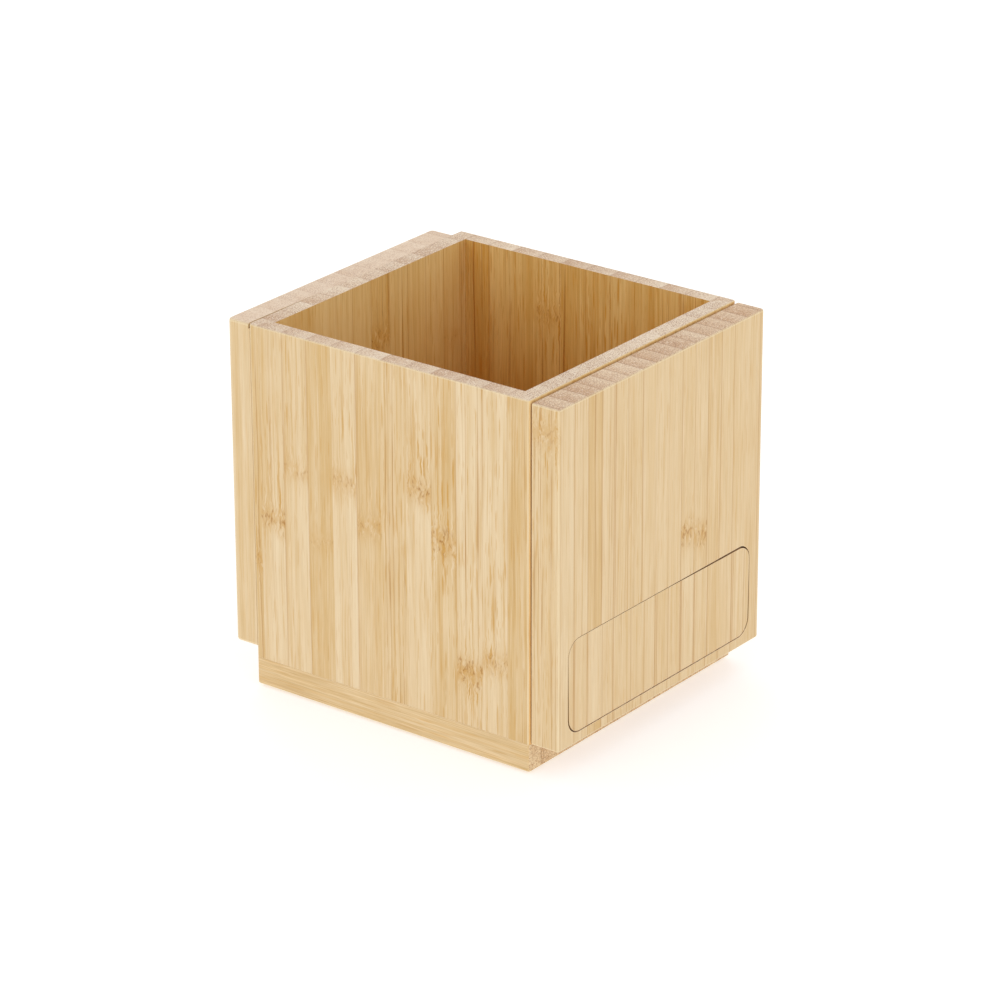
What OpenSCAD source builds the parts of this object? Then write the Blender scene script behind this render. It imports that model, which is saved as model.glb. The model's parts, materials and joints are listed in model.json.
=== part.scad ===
// Bamboo pen cup with two side boards. A small ledge, let into the foot of the
// right board, folds out to carry a phone that leans against the board.
//
// Frame: +Z up, the front wall faces -Y, the ledge opens towards +X. The origin
// is the centre of the footprint, on the surface the cup stands on.

/* [Cup] */
// Outside width of the cup, left to right
body_w = 94; // [90:0.5:110]
// Outside depth of the cup, front to back
body_d = 93.5; // [92:0.5:110]
// Height of the cup from the underside of its base to the rim
body_h = 106; // [95:0.5:120]
// Thickness of the four mitred walls
wall_t = 5; // [4:0.1:6]
// Thickness of the base plate the walls stand on
base_t = 8; // [6:0.1:10]
// Rounding of the cup's upright outer corners
corner_r = 0.8; // [0.3:0.1:1.5]

/* [Left board] */
// Thickness of the left board
left_t = 7.8; // [6:0.1:9]
// Length of the left board, front to back
left_len = 89.2; // [80:0.1:91]
// Height of the left board's lower edge above the underside of the base
left_low = 10.9; // [9:0.1:14]
// Set-back of the left board from the cup's front face
left_setback = 0.3; // [0:0.1:0.8]
// Rounding of the left board's outer upright edges
left_r = 1.2; // [0.5:0.1:2]

/* [Right board] */
// Thickness of the right board
right_t = 9; // [8.6:0.1:11]
// Height of the right board's lower edge above the underside of the base
right_low = 8.2; // [8:0.1:9]
// Distance of the right board's top below the rim
right_drop = 0.6; // [0:0.1:2]
// Set-back of the right board from the cup's front face
right_setback = 0.4; // [0:0.1:0.8]
// Open joint between the cup and the right board
board_gap = 0.35; // [0.2:0.05:0.6]
// Rounding of the right board's upright edges
right_r = 0.8; // [0.3:0.1:1.2]

/* [Ledge window] */
// Distance from the board's front edge to the window
window_front = 4.2; // [4:0.1:5]
// Distance from the board's back edge to the window
window_back = 5.2; // [4:0.1:6]
// Distance from the board's lower edge to the window
window_low = 3.05; // [2.5:0.05:5]
// Height of the window
window_h = 27.4; // [24:0.1:34]
// Corner radius of the window
window_r = 5; // [4.9:0.1:5.4]

/* [Folding ledge] */
// Joint round the ledge at its lower edge and both ends
ledge_gap = 0.35; // [0.3:0.05:0.5]
// Joint above the ledge, wide enough for its top edge to swing through
ledge_top_gap = 0.5; // [0.45:0.05:0.8]
// Thickness of the ledge
ledge_t = 5.5; // [5.3:0.1:5.6]
// Height of the pivot above the ledge's lower edge
pivot_up = 4.5; // [4.4:0.1:4.8]
// Distance of the pivot behind the ledge's outer face
pivot_in = 1.5; // [1.4:0.05:1.5]
// Free play behind the ledge, closed and open
ledge_play = 0.05; // [0.03:0.01:0.1]

/* [Hardware] */
// Diameter of the two pivot pins
pin_d = 1.5; // [1.2:0.1:1.6]
// Running clearance of a pin in the board, on the radius
pin_clear = 0.05; // [0.02:0.01:0.08]
// Length of a pin inside the ledge
pin_in_ledge = 5; // [4:0.5:8]
// Length of a pin inside the board
pin_in_board = 3; // [2:0.1:3]
// Diameter of the catch magnets
magnet_d = 5; // [4:0.5:6]
// Thickness of the catch magnets
magnet_t = 2; // [1:0.1:2.2]
// Distance of the magnets from the middle of the ledge
magnet_off = 28; // [15:1:33]
// Distance of the magnets' centres below the ledge's top edge
magnet_down = 5.5; // [4:0.5:8]
// Diameter of the dowels that carry the right board
dowel_d = 5; // [4:0.5:6]
// Length of a dowel
dowel_len = 7; // [6:0.1:7]
// Depth of a dowel in the cup's wall
dowel_in_wall = 3; // [2:0.1:3.4]
// Diameter of the foot pads
foot_d = 9; // [6:0.5:12]
// Height of the foot pads below the base
foot_h = 0.8; // [0.5:0.1:1.5]
// Depth of the foot pads' seats in the base
foot_seat = 0.4; // [0.2:0.1:1]
// Distance of a foot pad's centre from the cup's faces
foot_inset = 11; // [8:0.5:20]

/* [Hidden] */

$fn = 96;
bamboo      = "#e3c290";
bamboo_side = "#e7c895";
bamboo_end  = "#d9b58c";
steel       = "#c9ccd0";
rubber      = "#3a3a3a";

// Cup: its near left lower corner, and its levels
cup_x  = left_t - (left_t + body_w + board_gap + right_t) / 2;
cup_y  = -(body_d + right_setback) / 2;
cup_z  = foot_h;
wall_z = cup_z + base_t;
rim_z  = cup_z + body_h;
wall_h = body_h - base_t;

// Right board: as long as the cup is deep
right_x   = cup_x + body_w + board_gap;
face_x    = right_x + right_t;
right_y   = cup_y + right_setback;
right_len = body_d;
right_z   = cup_z + right_low;
right_h   = body_h - right_drop - right_low;

// Window in the right board
win_y   = right_y + window_front;
win_len = right_len - window_front - window_back;
win_z   = right_z + window_low;

// Ledge, closed
led_y   = win_y + ledge_gap;
led_len = win_len - 2 * ledge_gap;
led_z   = win_z + ledge_gap;
led_h   = window_h - ledge_gap - ledge_top_gap;
led_x   = face_x - ledge_t;
led_r   = window_r - ledge_gap;

// Pivot line, parallel to Y
pivot_x = face_x - pivot_in;
pivot_z = led_z + pivot_up;

// Depth of the window: deep below, where the heel of the ledge turns and its
// lower edge lands when open, and shallow above, where the closed ledge rests
deep    = pivot_in + pivot_up + ledge_play;
shallow = ledge_t + ledge_play;
step_z  = pivot_z + 3.5;

mag_y = led_y + led_len / 2;
mag_z = led_z + led_h - magnet_down;
far   = 300;

// Rectangle with round corners, its near left corner on the origin
module round_rect(w, h, r) {
    translate([r, 0]) square([w - 2 * r, h]);
    translate([0, r]) square([w, h - 2 * r]);
    for (x = [r, w - r], y = [r, h - r]) translate([x, y]) circle(r);
}

// Upright slab whose outline lies in Y and Z, growing towards +X
module upright(x, y, z, t) {
    translate([x, y, z]) rotate([90, 0, 90]) linear_extrude(t) children();
}

// Disc whose axis lies along X
module disc_x(x, y, z, d, t) {
    translate([x, y, z]) rotate([0, 90, 0]) cylinder(d = d, h = t);
}

// Rod whose axis lies along Y, starting at y
module rod_y(x, y, z, d, l) {
    translate([x, y, z]) rotate([-90, 0, 0]) cylinder(d = d, h = l);
}

// One wall of the cup, mitred at 45 degrees at both ends, in plan
module mitred(l) {
    polygon([[0, 0], [l, 0], [l - wall_t, wall_t], [wall_t, wall_t]]);
}

// A wall raised from the base, with its share of the round corners
module cup_wall() {
    translate([cup_x, cup_y, wall_z]) linear_extrude(wall_h) intersection() {
        children();
        round_rect(body_w, body_d, corner_r);
    }
}

// Centres of the four dowels on the cup's right wall
module at_dowels() {
    for (y = [right_y + 15, right_y + right_len - 15],
         z = [win_z + window_h + 9, right_z + right_h - 13])
        translate([0, y, z]) children();
}

module dowel() {
    disc_x(right_x - board_gap - dowel_in_wall, 0, 0, dowel_d, dowel_len);
}

// Centres of the four foot pads
module at_feet() {
    for (x = [foot_inset, body_w - foot_inset],
         y = [foot_inset, body_d - foot_inset])
        translate([cup_x + x, cup_y + y, 0]) children();
}

// Both pins: inside the ledge, across the joint and into the board
module pins(d, more) {
    l = pin_in_ledge + ledge_gap + pin_in_board;
    rod_y(pivot_x, win_y - pin_in_board - more, pivot_z, d, l + more);
    rod_y(pivot_x, win_y + win_len + pin_in_board - l, pivot_z, d, l + more);
}

module base_plate() {
    color(bamboo_end) difference() {
        translate([cup_x, cup_y, cup_z])
            linear_extrude(base_t) round_rect(body_w, body_d, corner_r);
        at_feet() translate([0, 0, cup_z - 1])
            cylinder(d = foot_d, h = 1 + foot_seat);
    }
}

module front_wall() {
    color(bamboo) cup_wall() mitred(body_w);
}

module right_wall() {
    color(bamboo_side) difference() {
        cup_wall() translate([body_w, 0]) rotate(90) mitred(body_d);
        at_dowels() dowel();
    }
}

module back_wall() {
    color(bamboo) cup_wall()
        translate([body_w, body_d]) rotate(180) mitred(body_w);
}

module left_wall() {
    color(bamboo_side) cup_wall()
        translate([0, body_d]) rotate(270) mitred(body_d);
}

// Glued flat to the cup; its outer upright edges are well rounded
module left_board() {
    color(bamboo) translate([cup_x - left_t, cup_y + left_setback, cup_z + left_low])
        linear_extrude(body_h - left_low) {
            translate([left_r, 0]) square([left_t - left_r, left_len]);
            translate([0, left_r]) square([left_t, left_len - 2 * left_r]);
            for (y = [left_r, left_len - left_r])
                translate([left_r, y]) circle(left_r);
        }
}

module right_board() {
    color(bamboo_side) difference() {
        translate([right_x, right_y, right_z]) linear_extrude(right_h)
            round_rect(right_t, right_len, right_r);
        // window, shallow over its whole height
        upright(face_x - shallow, win_y, win_z, far)
            round_rect(win_len, window_h, window_r);
        // and deep below the step
        upright(face_x - deep, win_y, win_z, far) intersection() {
            round_rect(win_len, window_h, window_r);
            square([win_len, step_z - win_z]);
        }
        pins(pin_d + 2 * pin_clear, 0.2);
        for (s = [-1, 1])
            disc_x(face_x - shallow - magnet_t, mag_y + s * magnet_off, mag_z,
                   magnet_d, magnet_t + 1);
        at_dowels() dowel();
    }
}

module board_dowels() {
    color(bamboo_end) at_dowels() dowel();
}

// Ledge with a round heel: below the pivot nothing reaches farther back than
// the pivot height, so it turns freely until its lower edge lands flat
module ledge_flap() {
    color(bamboo) difference() {
        upright(led_x, led_y, led_z, ledge_t) round_rect(led_len, led_h, led_r);
        difference() {
            translate([led_x - 1, led_y - 1, led_z - 1])
                cube([ledge_t - pivot_in + 1, led_len + 2, pivot_up + 1]);
            rod_y(pivot_x, led_y - 2, pivot_z, 2 * pivot_up, led_len + 4);
        }
        pins(pin_d, 0);
        for (s = [-1, 1])
            disc_x(led_x - 1, mag_y + s * magnet_off, mag_z, magnet_d, magnet_t + 1);
    }
}

module pivot_pins() {
    color(steel) pins(pin_d, 0);
}

module flap_magnets() {
    color(steel) for (s = [-1, 1])
        disc_x(led_x, mag_y + s * magnet_off, mag_z, magnet_d, magnet_t);
}

module board_magnets() {
    color(steel) for (s = [-1, 1])
        disc_x(face_x - shallow - magnet_t, mag_y + s * magnet_off, mag_z,
               magnet_d, magnet_t);
}

module foot_pads() {
    color(rubber) at_feet() cylinder(d = foot_d, h = foot_h + foot_seat);
}

base_plate();
front_wall();
right_wall();
back_wall();
left_wall();
left_board();
right_board();
board_dowels();
ledge_flap();
pivot_pins();
flap_magnets();
board_magnets();
foot_pads();
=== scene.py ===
"""Bamboo pen cup with two side boards and a fold-out phone ledge.

Every plank is rebuilt as a finer mesh with eased edges, in the place and size
that the frame gives. The bamboo is one solid procedural texture: its fibres,
glued strips, knuckles and end grain follow the plank's own grain direction."""

import json
import math
import random

import bmesh
import bpy
from mathutils import Matrix, Vector


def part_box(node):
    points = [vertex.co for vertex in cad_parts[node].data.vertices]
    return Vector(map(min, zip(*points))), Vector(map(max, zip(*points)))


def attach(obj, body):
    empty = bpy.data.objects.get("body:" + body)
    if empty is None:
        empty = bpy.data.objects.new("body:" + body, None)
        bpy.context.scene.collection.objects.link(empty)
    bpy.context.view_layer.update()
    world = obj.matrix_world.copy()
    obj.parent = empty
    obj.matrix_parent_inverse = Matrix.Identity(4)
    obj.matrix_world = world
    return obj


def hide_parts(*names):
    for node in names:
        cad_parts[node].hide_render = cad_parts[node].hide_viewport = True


MM = 0.001

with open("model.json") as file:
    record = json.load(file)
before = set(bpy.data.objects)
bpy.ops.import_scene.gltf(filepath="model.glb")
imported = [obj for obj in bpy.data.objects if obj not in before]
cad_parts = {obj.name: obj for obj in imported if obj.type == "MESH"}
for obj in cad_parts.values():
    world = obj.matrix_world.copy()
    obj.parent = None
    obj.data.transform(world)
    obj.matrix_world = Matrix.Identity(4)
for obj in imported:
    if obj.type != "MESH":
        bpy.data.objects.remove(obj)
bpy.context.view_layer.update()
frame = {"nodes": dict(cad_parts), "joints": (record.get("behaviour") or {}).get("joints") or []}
NODES = frame["nodes"]


def box(node):
    lo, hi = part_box(node)
    return [c / MM for c in lo], [c / MM for c in hi]


# ---------------------------------------------------------------- places, mm
B = {n: box(n) for n in NODES}
base_lo, base_hi = B["base_plate"]
front_lo, front_hi = B["front_wall"]
left_lo, left_hi = B["left_board"]
right_lo, right_hi = B["right_board"]
flap_lo, flap_hi = B["ledge_flap"]
X0, X1 = base_lo[0], base_hi[0]
Y0, Y1 = base_lo[1], base_hi[1]
ZB, ZW, ZR = base_lo[2], base_hi[2], front_hi[2]
WALL = front_hi[1] - front_lo[1]
CORNER = 0.8
hinge = next(j for j in frame["joints"] if j["name"] == "ledge_hinge")
PX, PY, PZ = [c / MM for c in hinge["pos_m"]]


# ------------------------------------------------------------ mesh building
def arc(cx, cy, r, a0, a1, n):
    """n + 1 points on an arc, from a0 to a1 degrees."""
    return [
        (
            cx + r * math.cos(math.radians(a0 + (a1 - a0) * i / n)),
            cy + r * math.sin(math.radians(a0 + (a1 - a0) * i / n)),
        )
        for i in range(n + 1)
    ]


def round_rect(x0, y0, x1, y1, r, n=10):
    """A rectangle's outline; r is one radius, or four from the low corner round."""
    r = [r] * 4 if isinstance(r, (int, float)) else r
    pts = arc(x0 + r[0], y0 + r[0], r[0], 180, 270, n)
    pts += arc(x1 - r[1], y0 + r[1], r[1], 270, 360, n)
    pts += arc(x1 - r[2], y1 - r[2], r[2], 0, 90, n)
    pts += arc(x0 + r[3], y1 - r[3], r[3], 90, 180, n)
    out = []
    for p in pts:
        if not out or math.dist(p, out[-1]) > 1e-6:
            out.append(p)
    if math.dist(out[0], out[-1]) < 1e-6:
        out.pop()
    return out


def prism(points, lo, hi, axis="Z"):
    """A closed prism over an outline. axis Z takes (x, y); axis X takes (y, z)."""
    bm = bmesh.new()
    place = {
        "Z": lambda p, h: (p[0], p[1], h),
        "X": lambda p, h: (h, p[0], p[1]),
        "Y": lambda p, h: (p[1], h, p[0]),
    }[axis]
    low = [bm.verts.new(place(p, lo)) for p in points]
    high = [bm.verts.new(place(p, hi)) for p in points]
    bm.faces.new(list(reversed(low)))
    bm.faces.new(high)
    n = len(points)
    for i in range(n):
        bm.faces.new((low[i], low[(i + 1) % n], high[(i + 1) % n], high[i]))
    bmesh.ops.recalc_face_normals(bm, faces=bm.faces)
    return bm


def rounded_block(x0, y0, x1, y1, z0, z1, r, edge, square_x1=False, n=10, m=6):
    """A board with round upright corners and rounded top and bottom edges.

    r has the four upright radii. With square_x1 the x1 side is left square."""
    bm = bmesh.new()
    rings = []

    def ring(d, z):
        dx1 = 0.0 if square_x1 else d
        pts = []
        for cx, cy, k, a0 in (
            (x0 + d, y0 + d, 0, 180),
            (x1 - dx1, y0 + d, 1, 270),
            (x1 - dx1, y1 - d, 2, 0),
            (x0 + d, y1 - d, 3, 90),
        ):
            q = max(r[k] - d, 0.04)
            sx = 1 if k in (0, 3) else -1
            sy = 1 if k in (0, 1) else -1
            pts += arc(cx + sx * q, cy + sy * q, q, a0, a0 + 90, n)
        rings.append([bm.verts.new((x, y, z)) for x, y in pts])

    for i in range(m + 1):
        a = math.radians(90 * i / m)
        ring(edge * (1 - math.sin(a)), z0 + edge * (1 - math.cos(a)))
    for i in range(m, -1, -1):
        a = math.radians(90 * i / m)
        ring(edge * (1 - math.sin(a)), z1 - edge * (1 - math.cos(a)))
    layer = bm.faces.layers.float.new("ease")
    count = len(rings[0])
    for k in range(len(rings) - 1):
        for i in range(count):
            j = (i + 1) % count
            f = bm.faces.new((rings[k][i], rings[k][j], rings[k + 1][j], rings[k + 1][i]))
            # the rounded edge faces get the ease mark, which the bamboo shader paints paler as a highlight
            f[layer] = 0.0 if k == m else 0.9
    bm.faces.new(list(reversed(rings[0])))
    bm.faces.new(rings[-1])
    bmesh.ops.recalc_face_normals(bm, faces=bm.faces)
    return bm


def rod(r, p, length, axis, n=48):
    """A closed cylinder from p along +axis."""
    ring = [
        (r * math.cos(2 * math.pi * i / n), r * math.sin(2 * math.pi * i / n))
        for i in range(n)
    ]
    if axis == "X":
        return prism([(p[1] + a, p[2] + b) for a, b in ring], p[0], p[0] + length, "X")
    if axis == "Y":
        return prism([(p[2] + a, p[0] + b) for a, b in ring], p[1], p[1] + length, "Y")
    return prism([(p[0] + a, p[1] + b) for a, b in ring], p[2], p[2] + length, "Z")


def to_object(name, bm):
    """A scene object in metres from a bmesh in millimetres."""
    mesh = bpy.data.meshes.new(name)
    bm.to_mesh(mesh)
    bm.free()
    mesh.transform(Matrix.Scale(MM, 4))
    ob = bpy.data.objects.new(name, mesh)
    bpy.context.scene.collection.objects.link(ob)
    return ob


def to_bmesh(ob):
    bm = bmesh.new()
    bm.from_mesh(ob.data)
    bmesh.ops.scale(bm, vec=(1 / MM,) * 3, verts=bm.verts)
    return bm


def cut(bm, cutters, operation="DIFFERENCE"):
    """bm with each cutter taken away, as a new bmesh in millimetres."""
    # worked at a thousand times life size, so that thin steps are exact
    mesh = bpy.data.meshes.new("cut")
    bm.to_mesh(mesh)
    bm.free()
    ob = bpy.data.objects.new("cut", mesh)
    bpy.context.scene.collection.objects.link(ob)
    tools = []
    for i, c in enumerate(cutters):
        m = bpy.data.meshes.new("tool")
        c.to_mesh(m)
        c.free()
        t = bpy.data.objects.new("tool", m)
        bpy.context.scene.collection.objects.link(t)
        tools.append(t)
        mod = ob.modifiers.new("b%d" % i, "BOOLEAN")
        mod.operation = operation
        mod.solver = "EXACT"
        mod.object = t
    dg = bpy.context.evaluated_depsgraph_get()
    done = bpy.data.meshes.new_from_object(ob.evaluated_get(dg), depsgraph=dg)
    out = bmesh.new()
    out.from_mesh(done)
    for o in tools + [ob]:
        bpy.data.objects.remove(o)
    bmesh.ops.remove_doubles(out, verts=out.verts, dist=1e-4)
    bmesh.ops.dissolve_limit(
        out,
        angle_limit=math.radians(0.4),
        verts=out.verts,
        edges=out.edges,
        use_dissolve_boundaries=False,
    )
    return out


def ease(bm, pick, width, segments=3):
    """Rounds the edges that pick chooses and marks the new faces as eased."""
    layer = bm.faces.layers.float.get("ease") or bm.faces.layers.float.new("ease")
    bm.edges.ensure_lookup_table()
    edges = [
        e
        for e in bm.edges
        if len(e.link_faces) == 2
        and e.calc_face_angle(0.0) > math.radians(40)
        and pick((e.verts[0].co + e.verts[1].co) / 2, e)
    ]
    if not edges:
        return
    old = set(bm.faces)
    made = bmesh.ops.bevel(
        bm,
        geom=edges,
        offset=width,
        offset_type="OFFSET",
        segments=segments,
        profile=0.5,
        affect="EDGES",
        clamp_overlap=True,
    )
    # the marked faces are painted paler by the bamboo shader: a painted highlight, with some sanding
    for f in made["faces"]:
        f[layer] = 1.0


def finish_piece(name, bm, body, nodes, material, smooth=35, corner=0.0):
    """Turns a bmesh into a piece that rides on its body and stands for its nodes."""
    layer = bm.faces.layers.float.get("ease") or bm.faces.layers.float.new("ease")
    bmesh.ops.recalc_face_normals(bm, faces=bm.faces)
    bm.normal_update()
    # narrow upright corner faces get the ease mark at strength corner, so that the shader paints a highlight
    # line up the corner
    for f in bm.faces:
        narrow = min(e.calc_length() for e in f.edges) < 0.9
        if narrow and abs(f.normal.z) < 0.2 and max(abs(c) for c in f.normal) < 0.985:
            f[layer] = max(f[layer], corner)
    ob = to_object(name, bm)
    for p in ob.data.polygons:
        p.use_smooth = True
    ob.data.set_sharp_from_angle(angle=math.radians(smooth))
    ob.data.materials.append(material)
    wn = ob.modifiers.new("flat_faces", "WEIGHTED_NORMAL")
    wn.weight = 100
    wn.keep_sharp = True
    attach(ob, body)
    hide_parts(*nodes)
    return ob


# -------------------------------------------------------------- shader tools
def srgb(r, g, b):
    """Linear colour from an 8-bit one."""

    def lin(c):
        c /= 255.0
        return c / 12.92 if c <= 0.04045 else ((c + 0.055) / 1.055) ** 2.4

    return (lin(r), lin(g), lin(b), 1.0)


class Shader:
    """A small helper for building node trees."""

    def __init__(self, name):
        self.mat = bpy.data.materials.new(name)
        self.mat.use_nodes = True
        self.nt = self.mat.node_tree
        self.nt.nodes.clear()
        self.out = self.nt.nodes.new("ShaderNodeOutputMaterial")
        self.bsdf = self.nt.nodes.new("ShaderNodeBsdfPrincipled")
        self.nt.links.new(self.bsdf.outputs[0], self.out.inputs["Surface"])

    def new(self, kind, **props):
        n = self.nt.nodes.new(kind)
        for k, v in props.items():
            setattr(n, k, v)
        return n

    def put(self, socket, v):
        if isinstance(v, bpy.types.NodeSocket):
            self.nt.links.new(v, socket)
        else:
            socket.default_value = v

    def m(self, op, a, b=None, c=None, clamp=False):
        n = self.new("ShaderNodeMath", operation=op, use_clamp=clamp)
        for i, v in enumerate((a, b, c)):
            if v is not None:
                self.put(n.inputs[i], v)
        return n.outputs[0]

    def add(self, a, b):
        return self.m("ADD", a, b)

    def sub(self, a, b):
        return self.m("SUBTRACT", a, b)

    def mul(self, a, b):
        return self.m("MULTIPLY", a, b)

    def clamp(self, a):
        return self.m("ADD", a, 0.0, clamp=True)

    def step(self, v, lo, hi, to0=0.0, to1=1.0):
        """Smooth step of v from lo to hi."""
        n = self.new("ShaderNodeMapRange", interpolation_type="SMOOTHSTEP")
        for i, x in enumerate((v, lo, hi, to0, to1)):
            self.put(n.inputs[i], x)
        return n.outputs[0]

    def bell(self, d, width):
        """exp(-(d / width)^2)."""
        q = self.m("DIVIDE", d, width)
        return self.m("POWER", math.e, self.mul(self.mul(q, q), -1.0))

    def vec(self, x, y, z):
        n = self.new("ShaderNodeCombineXYZ")
        for i, v in enumerate((x, y, z)):
            self.put(n.inputs[i], v)
        return n.outputs[0]

    def noise(self, v, scale=1.0, detail=2.0, rough=0.5, distort=0.0):
        n = self.new("ShaderNodeTexNoise", noise_dimensions="3D")
        self.put(n.inputs["Vector"], v)
        n.inputs["Scale"].default_value = scale
        n.inputs["Detail"].default_value = detail
        n.inputs["Roughness"].default_value = rough
        n.inputs["Distortion"].default_value = distort
        return n.outputs["Fac"]

    def white(self, v):
        n = self.new("ShaderNodeTexWhiteNoise", noise_dimensions="1D")
        self.put(n.inputs["W"], v)
        return n.outputs["Value"]

    def mix(self, f, a, b, blend="MIX"):
        n = self.new("ShaderNodeMix", data_type="RGBA", blend_type=blend)
        n.clamp_factor = True
        self.put(n.inputs[0], f)
        self.put(n.inputs[6], a)
        self.put(n.inputs[7], b)
        return n.outputs[2]


AX = {"X": 0, "Y": 1, "Z": 2}


def bamboo(
    name,
    u,
    v,
    w,
    u0,
    v0,
    pitch,
    tones,
    knots=(),
    streaks=0.5,
    glue=0.5,
    seed=0,
    ends=(0.5, 1.0),
    end_tint=None,
    soft=1.0,
    lines=(),
    painted_shade=None,
    layers=0.0,
    traits=None,
    threads=1.0,
    side=1.3,
    scorch_and_gap_shade=None,
):
    """A plank of glued bamboo strips.

    u, v and w are the axes across the strips, along the grain and through the
    plank. u0 is where strip 0 starts and v0 where the grain is measured from,
    in mm. tones has a number per strip, from 0 pale to 1 tan. knots are
    (strip, height in mm, strength). streaks and glue set the contrast of the
    fibres and of the glue lines, soft the contrast of the broad bands, and
    layers that of the fine level lines seen from the side. ends are the
    contrast between the strips' ends and the strength of their speckle.
    lines are glue lines, given in mm from u0. inside is the way, such as
    "-Y", that the faces look ("|Y" for both ways) on which shade is painted,
    and the tints of that painted shade at the foot and the rim.
    traits gives a strip's dashes above and below its knuckle, and its long
    lines, which threads scales. side is the extra contrast on narrow sides.
    scorch browns the cut edges within u_lo, u_hi, v_lo, v_hi, by a tint:
    the cutter's browning, and painted shade in the gap round the ledge."""
    s = Shader(name)
    rnd = random.Random(seed)
    n_strips = len(tones)
    tc = s.new("ShaderNodeTexCoord")
    sep = s.new("ShaderNodeSeparateXYZ")
    s.put(sep.inputs[0], tc.outputs["Object"])
    mm = [s.mul(o, 1000.0) for o in sep.outputs]
    nrm = s.new("ShaderNodeSeparateXYZ")
    s.put(nrm.inputs[0], tc.outputs["Normal"])
    pu = s.sub(mm[AX[u]], u0)
    pv = s.sub(mm[AX[v]], v0)
    pw = mm[AX[w]]

    # which strip, and where in it
    k = s.m("DIVIDE", pu, pitch)
    sid = s.m("FLOOR", k)
    fr = s.sub(k, sid)
    pick = s.m("DIVIDE", s.add(sid, 0.5), float(n_strips))

    def table(rows):
        """One constant per strip for each of four values."""
        ramp = s.new("ShaderNodeValToRGB")
        cr = ramp.color_ramp
        cr.interpolation = "CONSTANT"
        for i, row in enumerate(rows):
            e = cr.elements[i] if i < 2 else cr.elements.new(i / n_strips)
            e.position = i / n_strips
            e.color = row
        s.put(ramp.inputs[0], pick)
        sc = s.new("ShaderNodeSeparateColor")
        s.put(sc.inputs[0], ramp.outputs["Color"])
        return list(sc.outputs) + [ramp.outputs["Alpha"]]

    height = {i: (h, a) for i, h, a in knots}
    traits = traits or {}
    rows, more = [], []
    for i, t in enumerate(tones):
        h, a = height.get(i, (0.0, 0.0))
        above, below, long_ = traits.get(
            i, (0.3 + 0.6 * rnd.random(), 0.5 * rnd.random(), rnd.random() ** 2)
        )
        rows.append((t, h / 120.0, 0.30 + 0.70 * rnd.random(), a))
        more.append((above, below, long_, rnd.random()))
    tone, vk, busy, strong = table(rows)
    above, below, long_, luck = table(more)
    vk = s.mul(vk, 120.0)
    off = s.mul(s.add(sid, 3.0 + seed), 23.7)

    # the knuckle: a wavy band across the strip
    wave = s.noise(
        s.vec(s.mul(pu, 0.34), s.mul(pv, 0.04), s.add(off, s.mul(pw, 0.30))), 1.0, 2.0, 0.6
    )
    tilt = s.mul(s.mul(s.sub(fr, 0.5), s.sub(luck, 0.5)), 4.5)
    dv = s.add(s.sub(pv, vk), s.add(tilt, s.mul(s.sub(wave, 0.5), 5.5)))
    core = s.mul(s.bell(dv, 3.5), strong)
    wide = s.mul(s.bell(dv, 5.5), strong)
    flame_up = s.mul(s.mul(s.step(dv, -1.0, 2.5), s.step(dv, 46.0, 1.0)), strong)
    flame_down = s.mul(s.mul(s.step(dv, 1.0, -2.5), s.step(dv, -20.0, -3.0)), strong)
    calm = s.mul(s.mul(s.step(dv, -1.0, -9.0), s.step(dv, -75.0, -25.0, 0.45, 1.0)), strong)
    calm = s.mul(calm, s.sub(1.0, below))
    fan = s.add(s.mul(flame_up, above), s.mul(flame_down, below))

    # fibres sway, and are pushed aside at the knuckle
    sway = s.noise(s.vec(s.mul(pu, 0.12), s.mul(pw, 0.12), s.mul(pv, 0.022)), 1.0, 1.0)
    curl = s.noise(
        s.vec(s.mul(pu, 0.50), s.add(off, s.mul(pw, 0.40)), s.mul(pv, 0.30)), 1.0, 2.0, 0.55
    )
    uw = s.add(
        s.add(pu, s.mul(s.sub(sway, 0.5), 1.3)),
        s.mul(s.mul(s.sub(curl, 0.5), 3.2), s.add(wide, s.mul(fan, 0.30))),
    )
    a_off = s.add(uw, off)

    def lens(du, dv_, shift, least, most):
        """Pointed dashes along the grain."""
        n = s.new("ShaderNodeTexVoronoi", voronoi_dimensions="3D", feature="F1")
        s.put(
            n.inputs["Vector"],
            s.vec(
                s.mul(a_off, 1.0 / du), s.mul(pw, 1.0 / du), s.mul(s.add(pv, shift), 1.0 / dv_)
            ),
        )
        n.inputs["Scale"].default_value = 1.0
        c = s.new("ShaderNodeSeparateColor")
        s.put(c.inputs[0], n.outputs["Color"])
        size = s.add(s.mul(s.mul(c.outputs[0], c.outputs[0]), most - least), least)
        d = s.m("DIVIDE", n.outputs["Distance"], size)
        return s.step(d, 1.0, 0.55)

    broad = s.noise(
        s.vec(s.mul(a_off, 0.40), s.mul(pw, 0.40), s.mul(pv, 0.009)), 1.0, 2.0, 0.5
    )
    medium = s.noise(
        s.vec(s.mul(a_off, 1.10), s.mul(pw, 1.10), s.mul(pv, 0.022)), 1.0, 3.0, 0.78
    )
    fine = s.noise(
        s.vec(s.mul(a_off, 3.6), s.mul(pw, 3.6), s.mul(pv, 0.045)), 1.0, 3.0, 0.65
    )
    hair = s.noise(
        s.vec(s.mul(a_off, 1.7), s.mul(pw, 1.7), s.mul(pv, 0.007)), 1.0, 1.0, 0.5
    )
    cloud = s.noise(
        s.vec(s.mul(a_off, 0.20), s.mul(pw, 0.2), s.mul(pv, 0.045)), 1.0, 2.0, 0.5
    )
    dash = lens(0.95, 13.0, 0.0, 0.10, 0.47)
    tick = lens(0.50, 6.0, 31.0, 0.10, 0.50)

    pale = srgb(231, 208, 170)
    tan = srgb(212, 177, 120)
    deep = srgb(203, 156, 82)
    brown = srgb(168, 115, 50)

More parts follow.
